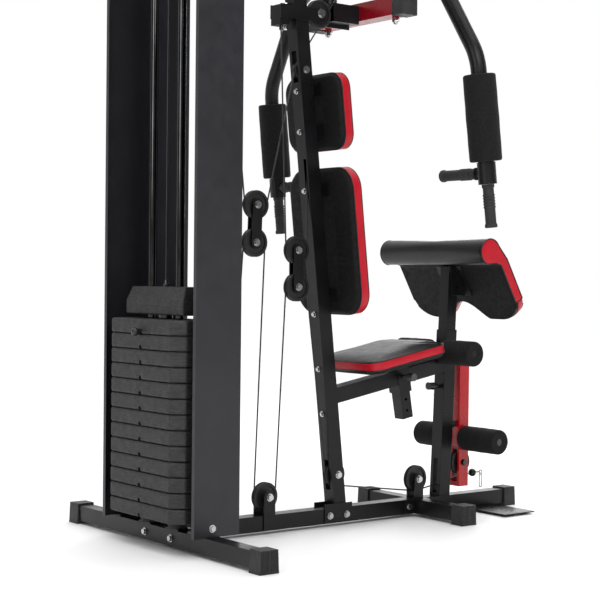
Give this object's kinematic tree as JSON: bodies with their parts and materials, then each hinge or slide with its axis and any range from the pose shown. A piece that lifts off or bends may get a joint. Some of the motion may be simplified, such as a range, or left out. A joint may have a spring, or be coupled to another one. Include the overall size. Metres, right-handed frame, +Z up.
{
  "type": "multi station home gym",
  "caption": "Home gym with a shrouded weight stack, leaning mast with back pads, seat, swinging arms, lat bar, leg lever and preacher pad",
  "frame": {"origin": "on the floor, at the middle of the machine's length and width", "axes": "+Z up, the seated user faces -Y, the weight stack is at the +Y end, X is across the machine"},
  "size_m": [1.1748, 1.606, 2.09],
  "materials": {
    "frame_black": "satin black powder coat",
    "shroud_black": "fine satin black powder coat on folded sheet",
    "cap_plastic": "matte black moulded plastic, ribbed",
    "chrome_rod": "polished chrome plate",
    "bumper_rubber": "black moulded rubber",
    "plate_grey": "grainy dark grey shell",
    "beam_red": "dark red gloss powder coat",
    "lever_red": "bright red gloss powder coat",
    "bolt_steel": "zinc plated steel",
    "cable_steel": "black plastic coating over steel cable",
    "pad_vinyl": "black vinyl, with red vinyl side bands",
    "foam_black": "dense black foam, slightly rough",
    "pulley_black": "black moulded nylon",
    "knob_black": "black plastic knob",
    "knob_grey": "dark grey knurled plastic",
    "bar_steel": "chrome plated bar with rubber ends"
  },
  "bodies": {
    "frame": {"stabilizers": "frame_black", "floor_rails": "frame_black", "end_caps": "cap_plastic", "foot_plate": "frame_black", "mast": "frame_black", "front_post": "frame_black", "seat_beam": "frame_black", "top_frame": "frame_black", "brackets": "frame_black", "shrouds": "shroud_black", "guide_rods": "chrome_rod", "rubber_bumpers": "bumper_rubber", "weight_plates": "plate_grey", "arm_carrier": "frame_black", "cross_beam": "beam_red", "floating_blocks": "frame_black", "axle_bolts": "bolt_steel", "steel_cables": "cable_steel", "back_pads": "pad_vinyl", "thigh_bar": "frame_black", "frame_bolts": "bolt_steel"},
    "stack_carriage": {"head_block": "plate_grey", "top_plate": "plate_grey", "selector_stem": "chrome_rod", "stack_cable": "cable_steel"},
    "selector_pin": {"selector_pin": "knob_black"},
    "lat_bar": {"lat_bar": "bar_steel", "lat_cable": "cable_steel"},
    "arm_right": {"arm_right": "frame_black", "arm_grips_right": "bumper_rubber"},
    "arm_foam_right": {"arm_foam_right": "foam_black"},
    "arm_left": {"arm_left": "frame_black", "arm_grips_left": "bumper_rubber"},
    "arm_foam_left": {"arm_foam_left": "foam_black"},
    "leg_lever": {"leg_lever": "lever_red", "leg_axles": "chrome_rod", "leg_cable": "cable_steel", "ball_stop": "knob_black"},
    "snap_hook": {"snap_hook": "bolt_steel"},
    "ankle_rollers": {"ankle_rollers": "foam_black"},
    "thigh_rollers": {"thigh_rollers": "foam_black"},
    "seat": {"seat_post": "frame_black", "seat_cushion": "pad_vinyl"},
    "seat_knob": {"seat_knob": "knob_grey"},
    "preacher": {"preacher_post": "frame_black", "preacher_pad": "pad_vinyl"},
    "preacher_knob": {"preacher_knob": "knob_black"},
    "tower_rear_pulley": {"tower_rear_pulley": "pulley_black"},
    "tower_front_pulley": {"tower_front_pulley": "pulley_black"},
    "lat_pulley": {"lat_pulley": "pulley_black"},
    "high_pulley": {"high_pulley": "pulley_black"},
    "block_a_upper_pulley": {"block_a_upper_pulley": "pulley_black"},
    "block_a_lower_pulley": {"block_a_lower_pulley": "pulley_black"},
    "block_b_upper_pulley": {"block_b_upper_pulley": "pulley_black"},
    "block_b_lower_pulley": {"block_b_lower_pulley": "pulley_black"},
    "rail_pulley": {"rail_pulley": "pulley_black"},
    "mast_pulley": {"mast_pulley": "pulley_black"},
    "front_pulley": {"front_pulley": "pulley_black"},
    "arm_pulley": {"arm_pulley": "pulley_black"},
    "leg_pulley": {"leg_pulley": "pulley_black"}
  },
  "joints": [
    {"name": "stack_lift", "type": "slide", "parent": "frame", "child": "stack_carriage", "axis": [0, 0, 1], "range_m": [0, 0.7], "deforming": ["stack_cable"]},
    {"name": "pin_pull", "type": "slide", "parent": "stack_carriage", "child": "selector_pin", "axis": [0, 1, 0], "range_m": [0, 0.12]},
    {"name": "lat_pull", "type": "slide", "parent": "frame", "child": "lat_bar", "axis": [0, 0, -1], "range_m": [0, 0.7], "deforming": ["lat_cable"]},
    {"name": "arm_right_swing", "type": "hinge", "parent": "frame", "child": "arm_right", "pos_m": [0.175, -0.075, 1.8], "axis": [0, 0, -1], "range_deg": [0, 80]},
    {"name": "arm_foam_right_spin", "type": "hinge", "parent": "arm_right", "child": "arm_foam_right", "pos_m": [0.537, -0.133, 1.178], "axis": [0.0185, -0.1111, -0.9936], "continuous": true},
    {"name": "arm_left_swing", "type": "hinge", "parent": "frame", "child": "arm_left", "pos_m": [-0.175, -0.075, 1.8], "axis": [0, 0, 1], "range_deg": [0, 80]},
    {"name": "arm_foam_left_spin", "type": "hinge", "parent": "arm_left", "child": "arm_foam_left", "pos_m": [-0.537, -0.133, 1.178], "axis": [-0.0185, -0.1111, -0.9936], "continuous": true},
    {"name": "leg_swing", "type": "hinge", "parent": "frame", "child": "leg_lever", "pos_m": [0, -0.551, 0.556], "axis": [-1, 0, 0], "range_deg": [0, 90]},
    {"name": "hook_swing", "type": "hinge", "parent": "leg_lever", "child": "snap_hook", "pos_m": [0, -0.658, 0.127], "axis": [1, 0, 0], "range_deg": [-25, 25]},
    {"name": "ankle_rollers_spin", "type": "hinge", "parent": "leg_lever", "child": "ankle_rollers", "pos_m": [0, -0.551, 0.257], "axis": [1, 0, 0], "continuous": true},
    {"name": "thigh_rollers_spin", "type": "hinge", "parent": "frame", "child": "thigh_rollers", "pos_m": [0, -0.438, 0.563], "axis": [1, 0, 0], "continuous": true},
    {"name": "seat_height", "type": "slide", "parent": "frame", "child": "seat", "axis": [0, 0.1822, 0.9833], "range_m": [0, 0.08]},
    {"name": "seat_knob_pull", "type": "slide", "parent": "frame", "child": "seat_knob", "axis": [-1, 0, 0], "range_m": [0, 0.012], "stiffness_N_per_m": 600, "springref_m": -0.004},
    {"name": "preacher_height", "type": "slide", "parent": "frame", "child": "preacher", "axis": [0, -0.0436, 0.999], "range_m": [-0.08, 0.01]},
    {"name": "preacher_knob_pull", "type": "slide", "parent": "frame", "child": "preacher_knob", "axis": [0, 0.999, 0.0436], "range_m": [0, 0.012], "stiffness_N_per_m": 600, "springref_m": -0.004},
    {"name": "tower_rear_pulley_spin", "type": "hinge", "parent": "frame", "child": "tower_rear_pulley", "pos_m": [0, 0.641, 1.985], "axis": [1, 0, 0], "continuous": true},
    {"name": "tower_front_pulley_spin", "type": "hinge", "parent": "frame", "child": "tower_front_pulley", "pos_m": [0, 0.541, 1.985], "axis": [1, 0, 0], "continuous": true},
    {"name": "lat_pulley_spin", "type": "hinge", "parent": "frame", "child": "lat_pulley", "pos_m": [0, -0.195, 1.985], "axis": [1, 0, 0], "continuous": true},
    {"name": "high_pulley_spin", "type": "hinge", "parent": "frame", "child": "high_pulley", "pos_m": [0, 0.17359, 1.487], "axis": [1, 0, 0], "continuous": true},
    {"name": "block_a_upper_pulley_spin", "type": "hinge", "parent": "frame", "child": "block_a_upper_pulley", "pos_m": [0.013, 0.342, 1.047], "axis": [1, 0, 0], "continuous": true},
    {"name": "block_a_lower_pulley_spin", "type": "hinge", "parent": "frame", "child": "block_a_lower_pulley", "pos_m": [0.013, 0.346, 0.927], "axis": [1, 0, 0], "continuous": true},
    {"name": "block_b_upper_pulley_spin", "type": "hinge", "parent": "frame", "child": "block_b_upper_pulley", "pos_m": [-0.013, 0.197, 0.905], "axis": [1, 0, 0], "continuous": true},
    {"name": "block_b_lower_pulley_spin", "type": "hinge", "parent": "frame", "child": "block_b_lower_pulley", "pos_m": [-0.013, 0.196, 0.786], "axis": [1, 0, 0], "continuous": true},
    {"name": "rail_pulley_spin", "type": "hinge", "parent": "frame", "child": "rail_pulley", "pos_m": [0, 0.305, 0.117], "axis": [1, 0, 0], "continuous": true},
    {"name": "mast_pulley_spin", "type": "hinge", "parent": "frame", "child": "mast_pulley", "pos_m": [0, 0.02131, 0.168], "axis": [1, 0, 0], "continuous": true},
    {"name": "front_pulley_spin", "type": "hinge", "parent": "frame", "child": "front_pulley", "pos_m": [0, -0.341, 0.126], "axis": [1, 0, 0], "continuous": true},
    {"name": "arm_pulley_spin", "type": "hinge", "parent": "frame", "child": "arm_pulley", "pos_m": [-0.013, 0.117, 1.673], "axis": [1, 0, 0], "continuous": true},
    {"name": "leg_pulley_spin", "type": "hinge", "parent": "leg_lever", "child": "leg_pulley", "pos_m": [0, -0.551, 0.17], "axis": [1, 0, 0], "continuous": true}
  ],
  "couplings": [
    {"joint": "lat_pull", "follows": "stack_lift", "ratio": 1}
  ]
}
